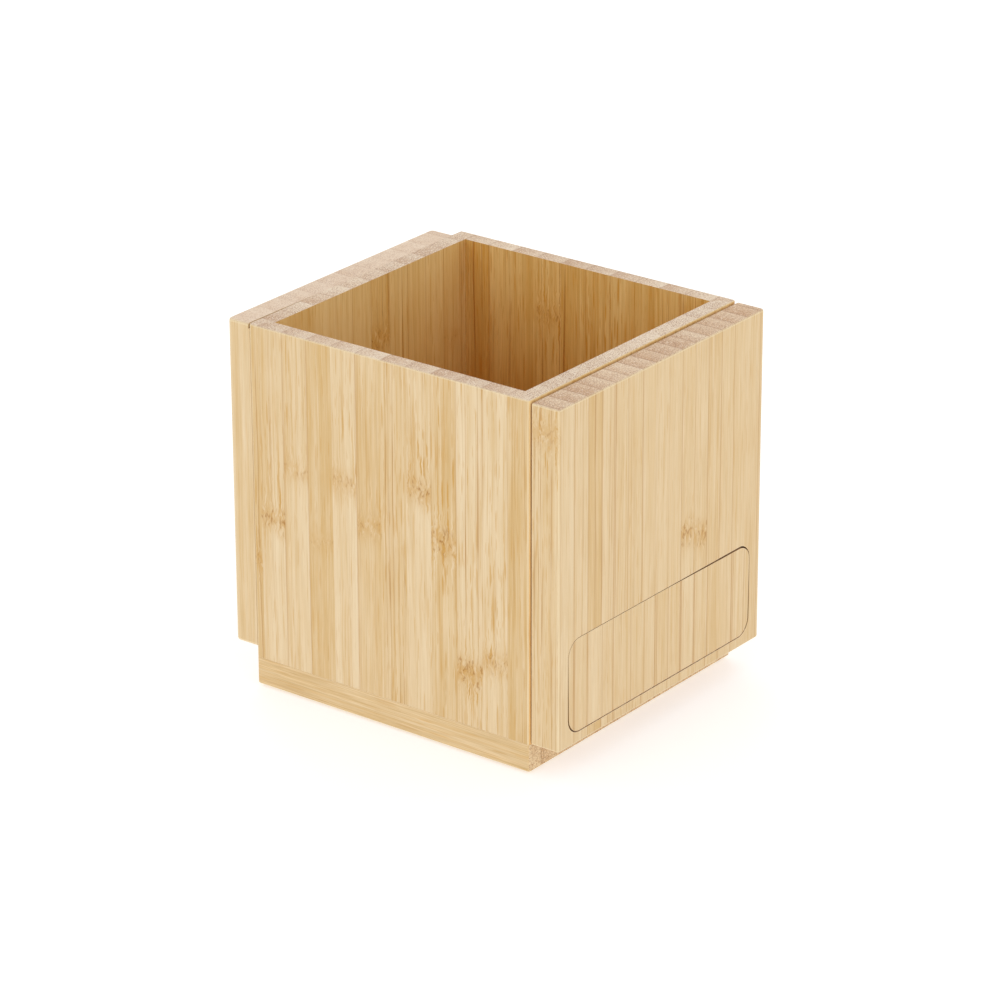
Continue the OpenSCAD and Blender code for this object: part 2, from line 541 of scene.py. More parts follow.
    t = s.add(tone, s.mul(s.sub(broad, 0.5), 1.15 * soft))
    t = s.add(t, s.mul(s.sub(cloud, 0.5), 0.75 * soft))
    t = s.add(t, s.mul(s.sub(medium, 0.5), 0.60 + 0.5 * streaks))
    t = s.add(t, s.mul(fan, 0.16))
    t = s.sub(t, s.mul(calm, 0.17))
    col = s.mix(s.clamp(t), pale, tan)

    # streaks, stronger by a knuckle and on the plank's narrow sides
    nu = s.m("ABSOLUTE", nrm.outputs[AX[u]])
    is_side = s.step(nu, 0.60, 0.85)
    gain = s.mul(s.add(s.mul(busy, 0.8), 0.25), streaks)
    gain = s.mul(gain, s.add(1.0, s.mul(is_side, side)))
    quiet = s.sub(1.0, s.mul(calm, 0.55))
    gain = s.mul(s.mul(gain, s.add(1.0, s.mul(fan, 1.5))), quiet)
    col = s.mix(s.mul(s.step(medium, 0.52, 0.70), s.mul(gain, 0.55)), col, deep)
    col = s.mix(s.mul(s.step(medium, 0.46, 0.30), s.mul(gain, 0.60)), col, pale)
    col = s.mix(s.mul(dash, s.mul(gain, 0.75)), col, deep)
    col = s.mix(s.mul(tick, s.mul(gain, 0.48)), col, deep)
    thread = s.mul(s.step(hair, 0.60, 0.70), s.step(cloud, 0.38, 0.58, 0.35, 1.0))
    col = s.mix(
        s.mul(thread, s.mul(s.mul(s.add(s.mul(long_, 0.85), 0.10), threads), quiet)),
        col,
        srgb(184, 136, 76),
    )
    shade = s.add(1.0, s.mul(s.sub(fine, 0.5), 0.28 + 0.24 * streaks + layers))
    grain_rgb = s.new("ShaderNodeCombineColor")
    s.put(grain_rgb.inputs[0], s.add(s.mul(shade, 0.7), 0.3))
    s.put(grain_rgb.inputs[1], s.add(s.mul(shade, 0.9), 0.1))
    s.put(grain_rgb.inputs[2], s.sub(s.mul(shade, 1.4), 0.4))
    col = s.mix(1.0, col, grain_rgb.outputs[0], "MULTIPLY")

    # knuckle marks: a brown flush, the broken ring line and short dark hooks
    flush = s.mul(core, s.step(curl, 0.28, 0.62, 0.35, 1.0))
    col = s.mix(s.mul(flush, 0.85), col, deep)
    wave2 = s.noise(
        s.vec(s.mul(pu, 0.75), s.mul(pv, 0.05), s.add(off, s.mul(pw, 0.6))), 1.0, 2.0, 0.6
    )
    ring_d = s.m("ABSOLUTE", s.add(dv, s.mul(s.sub(wave2, 0.5), 5.0)))
    blot = s.noise(
        s.vec(s.mul(uw, 1.75), s.add(off, s.mul(pw, 0.8)), s.mul(dv, 0.40)), 1.0, 1.0, 0.5, 0.6
    )
    ring = s.mul(s.mul(s.step(ring_d, 0.50, 0.15), s.step(blot, 0.50, 0.57)), strong)
    hook = s.mul(
        s.mul(s.step(blot, 0.60, 0.67), s.step(core, 0.06, 0.45)), s.step(strong, 0.2, 0.9)
    )
    wedge = s.mul(s.step(blot, 0.42, 0.34), s.step(core, 0.08, 0.5))
    col = s.mix(s.mul(wedge, 0.45), col, pale)
    col = s.mix(s.mul(ring, 0.58), col, brown)
    col = s.mix(s.mul(hook, 0.60), col, brown)

    # glue lines
    near = s.mul(s.m("MINIMUM", fr, s.sub(1.0, fr)), pitch)
    line_id = s.m("FLOOR", s.add(k, 0.5))
    amount = s.white(s.add(line_id, 11.5 + seed))
    line = s.mul(s.step(near, 0.34, 0.08), s.step(amount, 0.25, 0.9))
    broken = s.noise(s.vec(off, 0.0, s.mul(pv, 0.05)), 1.0, 2.0)
    line = s.mul(line, s.step(broken, 0.30, 0.55, 0.45, 1.0))
    for at, strength in lines:
        near_it = s.m("ABSOLUTE", s.sub(s.add(pu, s.mul(s.sub(sway, 0.5), 0.5)), at))
        line = s.m("MAXIMUM", line, s.mul(s.step(near_it, 0.40, 0.08), strength))
    col = s.mix(s.mul(line, glue), col, srgb(180, 128, 64))

    # end grain: dense bundles of fibres, darker towards one side of each strip
    nv = s.m("ABSOLUTE", nrm.outputs[AX[v]])
    is_end = s.step(nv, 0.55, 0.80)
    even, grit = ends
    vor = s.new("ShaderNodeTexVoronoi", voronoi_dimensions="3D", feature="F1")
    s.put(vor.inputs["Vector"], s.vec(pu, pw, off))
    vor.inputs["Scale"].default_value = 2.4
    vor.inputs["Randomness"].default_value = 0.7
    dots = s.step(vor.outputs["Distance"], 0.46, 0.24)
    speck = s.noise(s.vec(pu, pw, off), 2.5, 2.0, 0.7)
    mottle = s.noise(s.vec(pu, pw, off), 0.30, 2.0, 0.5)
    slope = s.step(fr, 0.0, 0.9, 1.0, 0.0)
    e = s.add(s.mul(s.white(s.add(sid, 5.0 + seed)), even), s.mul(slope, 0.65 * even))
    e = s.add(s.add(e, 0.10), s.mul(s.sub(mottle, 0.5), 0.7))
    endc = s.mix(s.clamp(e), srgb(241, 221, 194), srgb(211, 176, 141))
    endc = s.mix(
        s.mul(dots, s.mul(s.add(0.46, s.mul(slope, 0.40)), grit)), endc, srgb(166, 124, 100)
    )
    endc = s.mix(s.mul(s.step(speck, 0.53, 0.66), 0.56 * grit), endc, srgb(251, 240, 224))
    endc = s.mix(s.mul(s.step(speck, 0.47, 0.34), 0.50 * grit), endc, srgb(172, 132, 108))
    endc = s.mix(s.mul(s.step(near, 0.45, 0.08), 0.6 * even), endc, srgb(168, 126, 98))
    if end_tint:
        endc = s.mix(1.0, endc, end_tint, "MULTIPLY")
    col = s.mix(is_end, col, endc)

    # eased edges are painted paler, not evenly: a painted highlight along the edge, with some sanding
    att = s.new("ShaderNodeAttribute", attribute_name="ease")
    highlight_and_rub = s.mul(att.outputs["Fac"], s.step(fine, 0.30, 0.62, 0.45, 0.9))
    col = s.mix(s.mul(highlight_and_rub, s.sub(0.66, s.mul(is_end, 0.3))), col, srgb(244, 226, 188))

    # painted shade on the faces that look the given way, such as the cup's inner faces and the faces in the
    # joint between the cup and the right board: a tint that runs from the foot's to the rim's, mostly darker
    # towards the foot
    if painted_shade:
        way, low, high = painted_shade
        n_in = nrm.outputs[AX[way[1]]]
        if way[0] == "-":
            n_in = s.mul(n_in, -1.0)
        elif way[0] == "|":
            n_in = s.m("ABSOLUTE", n_in)
        shade_tint = s.mix(s.step(pv, 8.0, 100.0), low + (1.0,), high + (1.0,))
        shaded_col = s.mix(1.0, col, shade_tint, "MULTIPLY")
        col = s.mix(s.step(n_in, 0.6, 0.8), col, shaded_col)

    # painted shade in the gap round the ledge, laid on the cut edges where a piece is let into another,
    # together with the cutter's browning
    if scorch_and_gap_shade:
        u_lo, u_hi, v_lo, v_hi, tint = scorch_and_gap_shade
        gap_shade_edge = s.step(s.m("ABSOLUTE", nrm.outputs[AX[w]]), 0.65, 0.40)
        for c, lo, hi in ((pu, u_lo, u_hi), (pv, v_lo, v_hi)):
            gap_shade_edge = s.mul(gap_shade_edge, s.step(c, lo - 0.3, lo - 0.1))
            gap_shade_edge = s.mul(gap_shade_edge, s.step(c, hi + 0.3, hi + 0.1))
        gap_shade_edge = s.mul(gap_shade_edge, s.step(fine, 0.2, 0.7, 0.75, 1.0))
        col = s.mix(gap_shade_edge, col, s.mix(1.0, col, tint, "MULTIPLY"))

    s.put(s.bsdf.inputs["Base Color"], col)
    rough = s.add(0.47, s.mul(s.sub(fine, 0.5), 0.20))
    rough = s.add(rough, s.mul(is_end, 0.22))
    rough = s.add(rough, s.mul(core, 0.06))
    s.put(s.bsdf.inputs["Roughness"], rough)
    s.bsdf.inputs["IOR"].default_value = 1.45
    s.bsdf.inputs["Specular IOR Level"].default_value = 0.40

    h = s.add(s.mul(fine, 0.5), s.mul(medium, 0.5))
    h = s.sub(h, s.mul(line, 0.8))
    h = s.sub(h, s.mul(s.m("MAXIMUM", ring, hook), 0.5))
    pits = s.add(s.mul(speck, 0.9), s.mul(dots, -0.7))
    hm = s.new("ShaderNodeMix", data_type="FLOAT")
    s.put(hm.inputs[0], is_end)
    s.put(hm.inputs[2], h)
    s.put(hm.inputs[3], pits)
    bump = s.new("ShaderNodeBump")
    bump.inputs["Strength"].default_value = 0.40
    bump.inputs["Distance"].default_value = 0.00007
    s.put(bump.inputs["Height"], hm.outputs[0])
    s.put(s.bsdf.inputs["Normal"], bump.outputs[0])
    return s.mat


def tones(n, seed, lo=0.1, hi=0.7):
    r = random.Random(seed)
    return [round(lo + (hi - lo) * r.random(), 2) for _ in range(n)]


def knuckles(n, seed, height, share=0.75):
    """Knuckles at unlike heights in most strips."""
    r = random.Random(seed)
    return [
        (i, round(height * (0.12 + 0.76 * r.random()), 1), round(0.35 + 0.6 * r.random(), 2))
        for i in range(n)
        if r.random() < share
    ]


# ------------------------------------------------------------ bamboo planks
# the tint for painted shade in the gap round the ledge, with the cutter's browning
SCORCH_AND_GAP_SHADE = (0.60, 0.44, 0.28, 1.0)
# each inside tint below paints shade on the faces that look its way, mostly deeper towards the foot
m_front = bamboo(
    "bamboo_front", "X", "Z", "Y", X0 + 2.9 - 8.4, ZW, 8.4,
    [0.70, 0.40, 0.40, 0.84, 0.24, 0.50, 0.56, 0.42, 0.62, 0.30, 0.26, 0.80],
    [(0, 29.5, 0.8), (1, 42.5, 0.75), (2, 59.5, 0.45), (3, 41, 0.35), (4, 60, 0.52),
     (5, 49.5, 0.60), (7, 64.5, 0.78), (8, 51, 0.90), (9, 15.5, 1.0), (10, 20.5, 0.62)],
    streaks=0.74, glue=0.38, seed=2, painted_shade=("+Y", (0.98, 0.72, 0.34), (1.06, 0.95, 0.70)),
    traits={
        0: (0.7, 0.6, 0.7), 1: (0.8, 0.2, 0.25), 2: (0.8, 0.1, 0.1), 3: (0.2, 0.2, 0.1),
        4: (0.8, 0.1, 0.15), 5: (0.6, 0.2, 0.2), 6: (0.2, 0.2, 0.8), 7: (0.9, 0.1, 0.2),
        8: (0.8, 1.0, 0.3), 9: (0.3, 1.0, 1.0), 10: (0.7, 0.6, 0.3), 11: (0.2, 0.2, 0.7),
    },
)
m_back = bamboo(
    "bamboo_back", "X", "Z", "Y", X0 - 3.4, ZW, 8.4,
    [0.6, 0.95, 0.50, 0.72, 0.45, 0.80, 0.55, 0.68, 0.88, 0.5, 0.8, 0.6],
    [(0, 30, 0.5), (2, 22, 0.7), (4, 82, 0.6), (6, 38, 0.7), (8, 61, 0.6), (9, 27, 0.8),
     (11, 50, 0.6)],
    streaks=1.4, glue=0.6, seed=5, threads=1.6,
    painted_shade=("-Y", (0.86, 0.51, 0.06), (1.10, 0.97, 0.62)),
    traits={1: (0.5, 0.5, 1.0), 4: (1.0, 0.8, 0.6), 5: (0.5, 0.5, 0.8)},
)
m_right_wall = bamboo(
    "bamboo_right_wall", "Y", "Z", "X", Y0 - 5.6, ZW, 8.1,
    tones(13, 31), knuckles(13, 32, 98, 0.6), streaks=0.7, glue=0.4, seed=8,
    # |X: painted shade on the inner face and on the outer face in the joint to the right board, deeper towards the foot
    ends=(0.16, 1.3), painted_shade=("|X", (0.98, 0.76, 0.46), (1.05, 0.95, 0.72)),
)
m_left_wall = bamboo(
    "bamboo_left_wall", "Y", "Z", "X", Y0 - 2.5, ZW, 8.1,
    [0.5, 0.55, 0.62, 0.40, 0.36, 0.52, 0.66, 0.56, 0.60, 0.50, 0.62, 0.55],
    [(2, 47, 0.6), (4, 25, 0.5), (6, 80, 0.8), (9, 40, 0.6), (10, 70, 0.35)],
    streaks=0.7, glue=0.5, seed=11, ends=(0.50, 1.25), soft=0.7,
    painted_shade=("+X", (1.03, 0.76, 0.30), (1.12, 1.04, 0.76)),
    traits={6: (0.7, 0.2, 0.8)},
)
m_left_board = bamboo(
    "bamboo_left_board", "Y", "Z", "X", left_lo[1] - 4.5, left_lo[2], 8.2,
    tones(12, 51, 0.35, 0.70), knuckles(12, 52, 95, 0.6),
    streaks=0.34, glue=0.35, seed=14, ends=(0.20, 0.64), layers=0.1, threads=0.3,
    side=-0.5, end_tint=(1.0, 0.975, 0.985, 1.0),
)
m_right_board = bamboo(
    "bamboo_right_board", "Y", "Z", "X", right_lo[1] + 0.7 - 6.05, right_lo[2], 6.05,
    [0.45, 0.38, 0.40, 0.78, 0.42, 0.52, 0.56, 0.44, 0.46, 0.48, 0.50, 0.50, 0.62,
     0.50, 0.52, 0.50, 0.58],
    [(0, 90, 0.5), (10, 43.5, 0.75), (11, 41, 0.8)],
    streaks=0.45, glue=0.46, seed=17, soft=0.5, ends=(0.70, 1.15), layers=0.10,
    threads=0.75, end_tint=(0.99, 0.95, 0.89, 1.0),
    # -X: painted shade on the face in the joint to the cup
    painted_shade=("-X", (0.90, 0.68, 0.42), (0.88, 0.62, 0.32)),
    scorch_and_gap_shade=(flap_lo[1] - 0.35 - right_lo[1] + 5.35, flap_hi[1] + 0.35 - right_lo[1] + 5.35,
            flap_lo[2] + 1.3 - right_lo[2], flap_hi[2] + 0.5 - right_lo[2], SCORCH_AND_GAP_SHADE),
    traits={
        0: (1.0, 1.0, 0.9), 1: (0, 0, 0.05), 2: (0, 0, 0.7), 3: (0, 0, 1.0), 4: (0, 0, 0.8),
        5: (0, 0, 0.8), 6: (0, 0, 0.4), 7: (0, 0, 0.2), 8: (0, 0, 0.1), 9: (0, 0, 0.05),
        10: (0.4, 0.2, 0.1), 11: (0.3, 0.9, 0.1), 12: (0, 0, 0.3), 13: (0, 0, 0.1),
        14: (0, 0, 0.05), 15: (0, 0, 0.1), 16: (0, 0, 0.2),
    },
    lines=((24.2, 1.0), (29.6, 0.9), (35.8, 0.6), (42.5, 1.0), (48.6, 0.3), (54.5, 0.35)),
)
m_flap = bamboo(
    "bamboo_flap", "Y", "Z", "X", right_lo[1] + 0.35, right_lo[2], 6.15,
    [0.50, 0.50, 0.34, 0.42, 0.55, 0.58, 0.46, 0.60, 0.48, 0.42, 0.54, 0.60, 0.50,
     0.34, 0.48, 0.5],
    [], streaks=0.42, glue=0.62, seed=20, soft=0.6, threads=0.5,
    scorch_and_gap_shade=(-5.0, 95.0, flap_lo[2] + 1.3 - right_lo[2], 95.0, SCORCH_AND_GAP_SHADE),
    lines=((6.6, 0.8), (12.6, 0.5), (19.1, 0.5), (24.0, 0.8), (32.0, 0.5), (38.0, 0.5),
           (44.0, 0.6), (54.9, 1.0), (61.3, 0.8), (79.3, 0.9), (85.2, 0.5)),
)
m_base = bamboo(
    "bamboo_base", "Y", "X", "Z", Y0 - 3.0, X0, 8.2,
    tones(12, 61, 0.50, 0.80), knuckles(12, 62, 94, 0.5),
    streaks=0.32, glue=0.4, seed=23, soft=0.5, ends=(0.45, 1.3), threads=0.25,
    end_tint=(0.94, 0.88, 0.70, 1.0), layers=0.75,
    # +Z: painted shade, even, on the base's top face within the cup
    painted_shade=("+Z", (0.95, 0.74, 0.44), (0.95, 0.74, 0.44)),
)


# ----------------------------------------------------------------- the walls
def wall_outline(length):
    """Plan of a mitred wall whose outer face runs along y = 0 from x = 0."""
    r = CORNER
    pts = [(WALL, WALL)]
    pts += arc(r, r, r, 225, 270, 5)
    pts += arc(length - r, r, r, 270, 315, 5)
    pts += [(length - WALL, WALL)]
    return pts


def turned(points, angle, dx, dy):
    c, s_ = round(math.cos(math.radians(angle))), round(math.sin(math.radians(angle)))
    return [(c * x - s_ * y + dx, s_ * x + c * y + dy) for x, y in points]


def cup_wall(name, node, outline, material):
    bm = prism(outline, ZW, ZR)
    mid = Vector(((X0 + X1) / 2, (Y0 + Y1) / 2))

    def mitre(p):
        dx, dy = abs(p.x - mid.x), abs(p.y - mid.y)
        hx, hy = (X1 - X0) / 2, (Y1 - Y0) / 2
        return abs((hx - dx) - (hy - dy)) < 1e-3

    def top(p, e):
        # the rim is sanded flush with the left board, so that side stays square
        return (
            abs(p.z - ZR) < 1e-3
            and not (mitre(e.verts[0].co) and mitre(e.verts[1].co))
            and p.x > X0 + 0.01
        )

    def foot(p, e):
        return abs(p.z - ZW) < 1e-3 and not (
            mitre(e.verts[0].co) and mitre(e.verts[1].co)
        )

    ease(bm, top, 0.38)
    ease(bm, foot, 0.12, 2)
    return finish_piece(name, bm, "holder", [node], material, corner=0.8)


W_, D_ = X1 - X0, Y1 - Y0
cup_wall("front_wall_bamboo", "front_wall", turned(wall_outline(W_), 0, X0, Y0), m_front)
cup_wall("right_wall_bamboo", "right_wall", turned(wall_outline(D_), 90, X1, Y0), m_right_wall)
cup_wall("back_wall_bamboo", "back_wall", turned(wall_outline(W_), 180, X1, Y1), m_back)
cup_wall("left_wall_bamboo", "left_wall", turned(wall_outline(D_), 270, X0, Y1), m_left_wall)

# ------------------------------------------------------------ the base plate
foot_lo, foot_hi = B["foot_pads"]
FOOT_R = 4.5
feet = [
    (x, y)
    for x in (foot_lo[0] + FOOT_R, foot_hi[0] - FOOT_R)
    for y in (foot_lo[1] + FOOT_R, foot_hi[1] - FOOT_R)
]
bm = prism(round_rect(X0, Y0, X1, Y1, CORNER, 8), ZB, ZW)
bm = cut(
    bm,
    [rod(FOOT_R + 0.08, (x, y, ZB - 2), 2 + foot_hi[2] - ZB + 0.05, "Z") for x, y in feet],
)
def base_foot(p, e):
    edge = min(p.x - X0, X1 - p.x, p.y - Y0, Y1 - p.y)
    return abs(p.z - ZB) < 1e-3 and edge < 1.0


ease(bm, base_foot, 0.35)
ease(bm, lambda p, e: abs(p.z - ZW) < 1e-3, 0.12, 2)
finish_piece("base_bamboo", bm, "holder", ["base_plate"], m_base)

# ------------------------------------------------------------ the left board
bm = rounded_block(
    left_lo[0], left_lo[1], left_hi[0], left_hi[1], left_lo[2], left_hi[2],
    [1.4, 0.12, 0.12, 1.4], 0.80, square_x1=True,
)
# the thin crack where the board's front top stands off the wall
crack = [
    (X0 + 0.6, left_lo[1] - 1.0),
    (X0 + 0.6, left_lo[1] + 30.0),
    (X0 - 0.02, left_lo[1] + 30.0),
    (X0 - 0.16, left_lo[1] + 24.0),
    (X0 - 0.34, left_lo[1] + 14.0),
    (X0 - 0.46, left_lo[1] - 1.0),
]
bm = cut(bm, [prism(crack, left_hi[2] - 1.5, left_hi[2] + 1.0)])
finish_piece(
    "left_board_bamboo", bm, "holder", ["left_board"], m_left_board, corner=0.4
)

# ----------------------------------------------------------- the right board
mag_lo, mag_hi = B["board_magnets"]
fmag_lo, fmag_hi = B["flap_magnets"]
MAG_R = (mag_hi[2] - mag_lo[2]) / 2
mag_z = (mag_hi[2] + mag_lo[2]) / 2
mag_y = (mag_lo[1] + MAG_R, mag_hi[1] - MAG_R)
pin_lo, pin_hi = B["pivot_pins"]
PIN_R = (pin_hi[0] - pin_lo[0]) / 2

FACE = right_hi[0]
GAP = 0.35
WIN = (flap_lo[1] - GAP, flap_lo[2] - GAP, flap_hi[1] + GAP, flap_hi[2] + 0.5)
SHALLOW = mag_hi[0]
DEEP = PX - (PZ - flap_lo[2]) - 0.17
STEP = PZ + 3.5
bm = rounded_block(
    right_lo[0], right_lo[1], right_hi[0], right_hi[1], right_lo[2], right_hi[2],
    [0.5, 0.5, 1.3, 0.5], 0.50, n=8, m=5,
)
# the joint to the cup closes up a little towards the foot
for vert in bm.verts:
    if vert.co.x < right_lo[0] + 0.55:
        vert.co.x -= 0.17 * (right_hi[2] - vert.co.z) / (right_hi[2] - right_lo[2])
window = round_rect(*WIN, 5.0, 14)
deep_part = [p for p in window if p[1] <= STEP - 1e-6]
z_in = STEP
deep_part = [(WIN[2], z_in), (WIN[0], z_in)] + [
    p for p in window if p[1] < PZ + 1.0 and p[1] < WIN[1] + 5.0 + 1e-6
]
bm = cut(
    bm,
    [
        prism(window, SHALLOW, FACE + 5, "X"),
        prism(deep_part, DEEP, FACE + 4, "X"),
    ]
    + [rod(MAG_R + 0.06, (mag_lo[0] - 0.1, y, mag_z), 4, "X") for y in mag_y]
    + [
        rod(PIN_R + 0.05, (PX, pin_lo[1] - 0.2, PZ), 6, "Y", 24),
        rod(PIN_R + 0.05, (PX, pin_hi[1] + 0.2 - 6, PZ), 6, "Y", 24),
    ],
)
ease(
    bm,
    lambda p, e: abs(p.x - FACE) < 1e-3
    and WIN[0] - 0.01 < p.y < WIN[2] + 0.01
    and WIN[1] - 0.01 < p.z < WIN[3] + 0.01,
    0.10,
    2,
)
finish_piece(
    "right_board_bamboo", bm, "holder", ["right_board"], m_right_board, corner=0.8
)

# ----------------------------------------------------------------- the ledge
def ledge_gap(y, z, ny, nz):
    """Width of the gap round the ledge: it sits a little skew in its window.

    Below z = 21 the rear side gap widens, to clear the corner as the ledge turns."""
    k = min(1.0, max(0.0, (y + 6.0) / 42.0))
    top = 0.11 + 0.42 * k * k * (3 - 2 * k)
    low = min(1.0, max(0.0, (25.0 - z) / 12.0))
    front_side = 0.13 + 0.40 * low
    rear_side = 0.14 + 0.25 * min(1.0, max(0.0, (21.0 - z) / 4.0))
    return ny * ny * (front_side if ny < 0 else rear_side) + nz * nz * (top if nz > 0 else 0.30)


def ledge_outline(shrink_top):
    pts = []
    r = 5.0
    for cy, cz, a0 in (
        (WIN[0] + r, WIN[1] + r, 180),
        (WIN[2] - r, WIN[1] + r, 270),
        (WIN[2] - r, WIN[3] - r, 0),
        (WIN[0] + r, WIN[3] - r, 90),
    ):
        for i in range(15):
            a = math.radians(a0 + 90 * i / 14)
            ny, nz = math.cos(a), math.sin(a)
            y, z = cy + r * ny, cz + r * nz
            g = ledge_gap(y, z, ny, nz)
            if shrink_top and nz > 0:
                g = max(g, 0.5 * nz * nz + 0.22 * ny * ny)
            pts.append((y - g * ny, z - g * nz))
    return pts


def long_edges(pts, n=16):
    """Splits the long straight runs, so that they can bend a little."""
    out = []
    for i, p in enumerate(pts):
        q = pts[(i + 1) % len(pts)]
        out.append(p)
        if math.dist(p, q) > 20:
            for j in range(1, n):
                y = p[0] + (q[0] - p[0]) * j / n
                z = p[1] + (q[1] - p[1]) * j / n
                out.append((y, z))
    return out


def ledge_solid():
    """The flap's plate. Its top edge is relieved behind, to clear the window."""
    face = long_edges(ledge_outline(False))
    back = long_edges(ledge_outline(True))
    fixed = []
    for y, z in face:
        if z > WIN[3] - 1.0 and WIN[0] + 5 < y < WIN[2] - 5:
            z = WIN[3] - ledge_gap(y, z, 0.0, 1.0)
        fixed.append((y, z))
    bm = bmesh.new()
    inner = [bm.verts.new((flap_lo[0], y, z)) for y, z in back]
    outer = [bm.verts.new((FACE, y, z)) for y, z in fixed]
    bm.faces.new(list(reversed(inner)))
    bm.faces.new(outer)
    n = len(inner)
    for i in range(n):
        bm.faces.new((inner[i], inner[(i + 1) % n], outer[(i + 1) % n], outer[i]))
    bmesh.ops.recalc_face_normals(bm, faces=bm.faces)
    return bm


bm = ledge_solid()
heel_r = PZ - flap_lo[2]
heel = [(PZ, flap_lo[0] - 1), (flap_lo[2] - 1, flap_lo[0] - 1), (flap_lo[2] - 1, PX)]
heel += [
    (PZ - heel_r * math.cos(math.radians(a)), PX - heel_r * math.sin(math.radians(a)))
    for a in range(0, 91, 5)
]
heel_cut = prism(heel, flap_lo[1] - 1, flap_hi[1] + 1, "Y")
bm = cut(
    bm,
    [heel_cut]
    + [rod(MAG_R + 0.06, (flap_lo[0] - 2, y, mag_z), 2 + (fmag_hi[0] - fmag_lo[0]) + 0.1, "X") for y in mag_y],
)
ease(
    bm,
    lambda p, e: abs(p.x - FACE) < 1e-3
    or (abs(p.x - flap_lo[0]) < 1e-3 and (
        p.z > flap_hi[2] - 4.7 or p.y < flap_lo[1] + 4.7 or p.y > flap_hi[1] - 4.7)
        and not any(math.dist((p.y, p.z), (y, mag_z)) < 3 for y in mag_y)),
    0.12,
    2,
)
finish_piece("ledge_bamboo", bm, "ledge", ["ledge_flap"], m_flap)


# ------------------------------------------------------------------ hardware
def steel(name, colour, rough, axis, brushed=0.5):
    s = Shader(name)
    tc = s.new("ShaderNodeTexCoord")
    sep = s.new("ShaderNodeSeparateXYZ")
    s.put(sep.inputs[0], tc.outputs["Object"])
    mm = [s.mul(o, 1000.0) for o in sep.outputs]
    along = mm[AX[axis]]
    others = [m for i, m in enumerate(mm) if i != AX[axis]]
    lines = s.noise(s.vec(s.mul(along, 9.0), s.mul(others[0], 0.6), s.mul(others[1], 0.6)), 1.0, 3.0, 0.6)
    spots = s.noise(s.vec(mm[0], mm[1], mm[2]), 0.8, 3.0, 0.6)
    col = s.mix(s.mul(s.step(lines, 0.35, 0.7), brushed), srgb(*colour), srgb(*[int(c * 0.84) for c in colour]))
    col = s.mix(s.mul(s.step(spots, 0.58, 0.75), 0.25), col, srgb(*[int(c * 0.72) for c in colour]))
    s.put(s.bsdf.inputs["Base Color"], col)
    s.bsdf.inputs["Metallic"].default_value = 1.0
    s.put(s.bsdf.inputs["Roughness"], s.add(rough, s.mul(s.sub(lines, 0.5), 0.22)))
    bump = s.new("ShaderNodeBump")
    bump.inputs["Strength"].default_value = 0.25
    bump.inputs["Distance"].default_value = 0.00003
    s.put(bump.inputs["Height"], lines)
    s.put(s.bsdf.inputs["Normal"], bump.outputs[0])
    return s.mat


def silicone():
    s = Shader("pad_silicone")
    tc = s.new("ShaderNodeTexCoord")
    sep = s.new("ShaderNodeSeparateXYZ")
    s.put(sep.inputs[0], tc.outputs["Object"])
    mm = [s.mul(o, 1000.0) for o in sep.outputs]
    v = s.vec(*mm)
    grain = s.noise(v, 5.0, 3.0, 0.6)
    dust = s.noise(v, 0.9, 3.0, 0.6)
    col = s.mix(s.mul(s.step(dust, 0.45, 0.75), 0.5), srgb(46, 45, 44), srgb(78, 75, 71))
    s.put(s.bsdf.inputs["Base Color"], col)
    s.put(s.bsdf.inputs["Roughness"], s.add(0.72, s.mul(s.sub(grain, 0.5), 0.25)))
    bump = s.new("ShaderNodeBump")
    bump.inputs["Strength"].default_value = 0.4
    bump.inputs["Distance"].default_value = 0.00005
    s.put(bump.inputs["Height"], grain)
    s.put(s.bsdf.inputs["Normal"], bump.outputs[0])
    return s.mat


m_pin = steel("pin_steel", (176, 177, 180), 0.32, "Y")
m_magnet = steel("magnet_nickel", (212, 210, 205), 0.36, "X", 0.25)
m_pad = silicone()
m_dowel = bamboo(
    "dowel_wood", "Y", "X", "Z", -60.0, -60.0, 12.0,
    tones(10, 71, 0.4, 0.9), [], streaks=0.6, glue=0.0, seed=26,
)


def joined(parts):
    out = bmesh.new()
    for p in parts:
        mesh = bpy.data.meshes.new("part")
        p.to_mesh(mesh)
        p.free()
        out.from_mesh(mesh)
        bpy.data.meshes.remove(mesh)
    return out


def turned_rod(r, p, length, axis, chamfer, n=48):
    bm = rod(r, p, length, axis, n)
    ease(bm, lambda q, e: len(e.link_faces) == 2 and any(len(f.verts) > 8 for f in e.link_faces), chamfer, 2)
    return bm


pin_len = 8.35
bm = joined(
    [
        turned_rod(PIN_R, (PX, pin_lo[1], PZ), pin_len, "Y", 0.15, 32),
        turned_rod(PIN_R, (PX, pin_hi[1] - pin_len, PZ), pin_len, "Y", 0.15, 32),
    ]
)
finish_piece("pivot_pins_steel", bm, "ledge", ["pivot_pins"], m_pin)

bm = joined(
    [turned_rod(MAG_R, (mag_lo[0], y, mag_z), mag_hi[0] - mag_lo[0], "X", 0.18) for y in mag_y]
)
finish_piece("board_magnets_nickel", bm, "holder", ["board_magnets"], m_magnet)
bm = joined(
    [turned_rod(MAG_R, (fmag_lo[0], y, mag_z), fmag_hi[0] - fmag_lo[0], "X", 0.18) for y in mag_y]
)
finish_piece("ledge_magnets_nickel", bm, "ledge", ["flap_magnets"], m_magnet)

dow_lo, dow_hi = B["board_dowels"]
DOW_R = 2.5
bm = joined(
    [
        turned_rod(DOW_R, (dow_lo[0], y, z), dow_hi[0] - dow_lo[0], "X", 0.3, 32)
        for y in (dow_lo[1] + DOW_R, dow_hi[1] - DOW_R)
        for z in (dow_lo[2] + DOW_R, dow_hi[2] - DOW_R)
    ]
)
finish_piece("dowels_wood", bm, "holder", ["board_dowels"], m_dowel)

